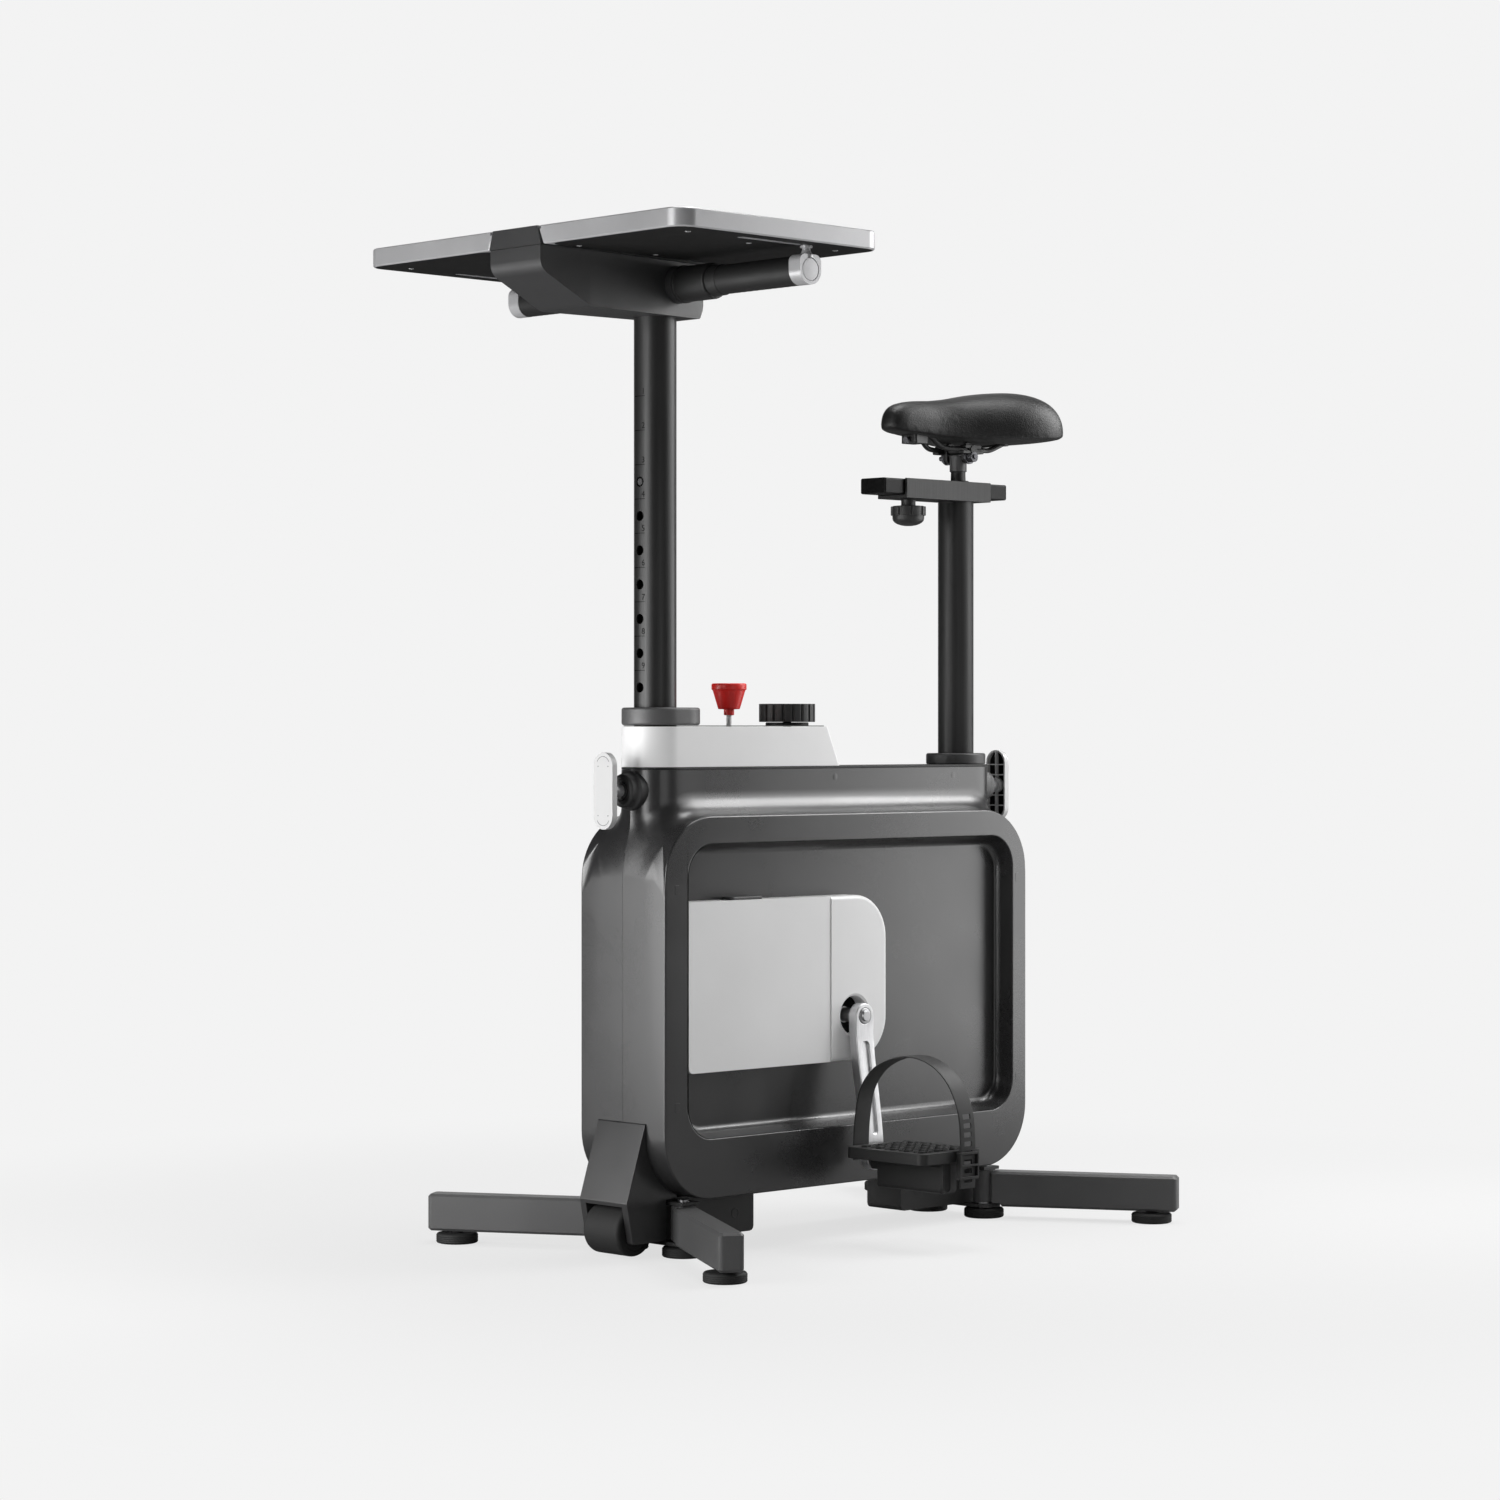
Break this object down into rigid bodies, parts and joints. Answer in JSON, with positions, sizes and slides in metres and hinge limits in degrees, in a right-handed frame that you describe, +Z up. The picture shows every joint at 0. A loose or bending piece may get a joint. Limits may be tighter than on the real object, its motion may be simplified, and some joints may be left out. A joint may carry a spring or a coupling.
{
  "type": "folding exercise bike with desk",
  "caption": "Folding exercise bike: boxy grey casing on swing-out legs, crank with strapped pedals, saddle on a post and a folding desk on a taller post.",
  "frame": {"origin": "floor, at the bottom centre of the bounding box", "axes": "+X from the desk end to the saddle end, +Y to the rider's right, +Z up"},
  "size_m": [0.8726, 0.543, 1.179],
  "materials": {
    "body_grey": "satin dark grey paint with a fine grain",
    "leg_grey": "satin dark grey paint",
    "keel_black": "matt black paint",
    "dark_grey": "matt moulded plastic",
    "white_gloss": "light grey, softly glossy",
    "black_plastic": "matt black, fine texture",
    "black_rubber": "matt black rubber",
    "post_paint": "satin black paint",
    "steel": "plain steel",
    "alloy": "brushed alloy",
    "cast_iron": "turned iron",
    "silver": "silver paint",
    "red_plastic": "red moulded plastic",
    "saddle_vinyl": "matt black vinyl"
  },
  "bodies": {
    "frame": {"frame_shell_left": "body_grey", "frame_shell_right": "body_grey", "inner_frame": "steel", "neck_plate": "black_plastic", "console_cover": "white_gloss", "console_plate": "black_plastic", "desk_post_collar": "dark_grey", "saddle_post_collar": "dark_grey", "drive_cover_left": "white_gloss", "drive_cover_right": "white_gloss", "crank_cover_left": "white_gloss", "crank_cover_right": "white_gloss", "drive_belt": "black_rubber", "keel_front": "keel_black", "keel_rear": "keel_black", "foot_front_left": "black_rubber", "foot_front_right": "black_rubber", "foot_rear_left": "black_rubber", "foot_rear_right": "black_rubber", "wheel_housing": "body_grey", "pin_collar_front": "black_plastic", "pin_collar_rear": "black_plastic"},
    "desk_column": {"desk_post": "post_paint", "head_housing": "dark_grey", "handle_left": "black_plastic", "handle_right": "black_plastic", "handle_cap_left": "silver", "handle_cap_right": "silver"},
    "desk_slider": {"desk_spine": "dark_grey"},
    "leaf_left": {"desk_leaf_left": "silver"},
    "leaf_right": {"desk_leaf_right": "silver"},
    "saddle_column": {"saddle_post": "post_paint"},
    "seat_slider": {"saddle_slider": "black_plastic"},
    "seat": {"saddle_rails": "steel", "saddle_shell": "black_plastic", "saddle_cushion": "saddle_vinyl"},
    "seat_lock": {"lock_knob": "black_plastic"},
    "crankset": {"crank_spindle": "steel", "crank_left": "alloy", "crank_right": "alloy"},
    "left_pedal": {"pedal_left": "black_plastic", "pedal_weight_left": "cast_iron", "toe_strap_left": "black_rubber"},
    "right_pedal": {"pedal_right": "black_plastic", "pedal_weight_right": "cast_iron", "toe_strap_right": "black_rubber"},
    "flywheel_set": {"flywheel": "cast_iron"},
    "tension_control": {"tension_knob": "black_plastic"},
    "push_control": {"red_knob": "red_plastic"},
    "front_pin": {"pull_pin_front": "silver"},
    "rear_pin": {"pull_pin_rear": "silver"},
    "wheel": {"transport_wheel": "black_rubber"},
    "front_left_leg": {"leg_front_left": "leg_grey", "pad_front_left": "black_rubber"},
    "front_right_leg": {"leg_front_right": "leg_grey", "pad_front_right": "black_rubber"},
    "rear_left_leg": {"leg_rear_left": "leg_grey", "pad_rear_left": "black_rubber"},
    "rear_right_leg": {"leg_rear_right": "leg_grey", "pad_rear_right": "black_rubber"}
  },
  "joints": [
    {"name": "desk_height", "type": "slide", "parent": "frame", "child": "desk_column", "axis": [0, 0, 1], "range_m": [-0.36, 0]},
    {"name": "desk_reach", "type": "slide", "parent": "desk_column", "child": "desk_slider", "axis": [1, 0, 0], "range_m": [0, 0.1]},
    {"name": "leaf_left_fold", "type": "hinge", "parent": "desk_slider", "child": "leaf_left", "pos_m": [-0.2193, -0.0422, 1.1762], "axis": [-1, 0, 0], "range_deg": [0, 90]},
    {"name": "leaf_right_fold", "type": "hinge", "parent": "desk_slider", "child": "leaf_right", "pos_m": [-0.2193, 0.0422, 1.1762], "axis": [1, 0, 0], "range_deg": [0, 90]},
    {"name": "seat_height", "type": "slide", "parent": "frame", "child": "saddle_column", "axis": [0, 0, 1], "range_m": [-0.24, 0]},
    {"name": "seat_reach", "type": "slide", "parent": "saddle_column", "child": "seat_slider", "axis": [1, 0, 0], "range_m": [-0.03, 0.03]},
    {"name": "seat_tilt", "type": "hinge", "parent": "seat_slider", "child": "seat", "pos_m": [0.3047, 0, 0.965], "axis": [0, 1, 0], "range_deg": [-10, 10]},
    {"name": "seat_lock_turn", "type": "hinge", "parent": "saddle_column", "child": "seat_lock", "pos_m": [0.2127, 0, 0.88], "axis": [0, 0, 1], "range_deg": [-270, 0]},
    {"name": "crank_turn", "type": "hinge", "parent": "frame", "child": "crankset", "pos_m": [0.0407, 0, 0.268], "axis": [0, 1, 0], "continuous": true},
    {"name": "left_pedal_spin", "type": "hinge", "parent": "crankset", "child": "left_pedal", "pos_m": [0.0407, -0.176, 0.098], "axis": [0, 1, 0], "continuous": true},
    {"name": "right_pedal_spin", "type": "hinge", "parent": "crankset", "child": "right_pedal", "pos_m": [0.0407, 0.176, 0.438], "axis": [0, 1, 0], "continuous": true},
    {"name": "flywheel_spin", "type": "hinge", "parent": "frame", "child": "flywheel_set", "pos_m": [-0.0923, 0, 0.31], "axis": [0, 1, 0], "continuous": true},
    {"name": "tension_turn", "type": "hinge", "parent": "frame", "child": "tension_control", "pos_m": [-0.0013, 0, 0.632], "axis": [0, 0, 1], "range_deg": [0, 300]},
    {"name": "push_knob_press", "type": "slide", "parent": "frame", "child": "push_control", "axis": [0, 0, -1], "range_m": [0, 0.008], "stiffness_N_per_m": 600, "springref_m": -0.001},
    {"name": "front_pin_pull", "type": "slide", "parent": "frame", "child": "front_pin", "axis": [-1, 0, 0], "range_m": [-0.008, 0.004]},
    {"name": "rear_pin_pull", "type": "slide", "parent": "frame", "child": "rear_pin", "axis": [1, 0, 0], "range_m": [-0.008, 0.004]},
    {"name": "transport_wheel_spin", "type": "hinge", "parent": "frame", "child": "wheel", "pos_m": [-0.2783, 0, 0.0325], "axis": [0, 1, 0], "continuous": true},
    {"name": "front_left_leg_swing", "type": "hinge", "parent": "frame", "child": "front_left_leg", "pos_m": [-0.2193, -0.048, 0.04], "axis": [0, 0, 1], "range_deg": [0, 120]},
    {"name": "front_right_leg_swing", "type": "hinge", "parent": "frame", "child": "front_right_leg", "pos_m": [-0.2193, 0.048, 0.04], "axis": [0, 0, -1], "range_deg": [0, 120]},
    {"name": "rear_left_leg_swing", "type": "hinge", "parent": "frame", "child": "rear_left_leg", "pos_m": [0.3002, -0.048, 0.04], "axis": [0, 0, -1], "range_deg": [0, 120]},
    {"name": "rear_right_leg_swing", "type": "hinge", "parent": "frame", "child": "rear_right_leg", "pos_m": [0.3002, 0.048, 0.04], "axis": [0, 0, 1], "range_deg": [0, 120]}
  ],
  "couplings": [
    {"joint": "flywheel_spin", "follows": "crank_turn", "ratio": 4}
  ]
}
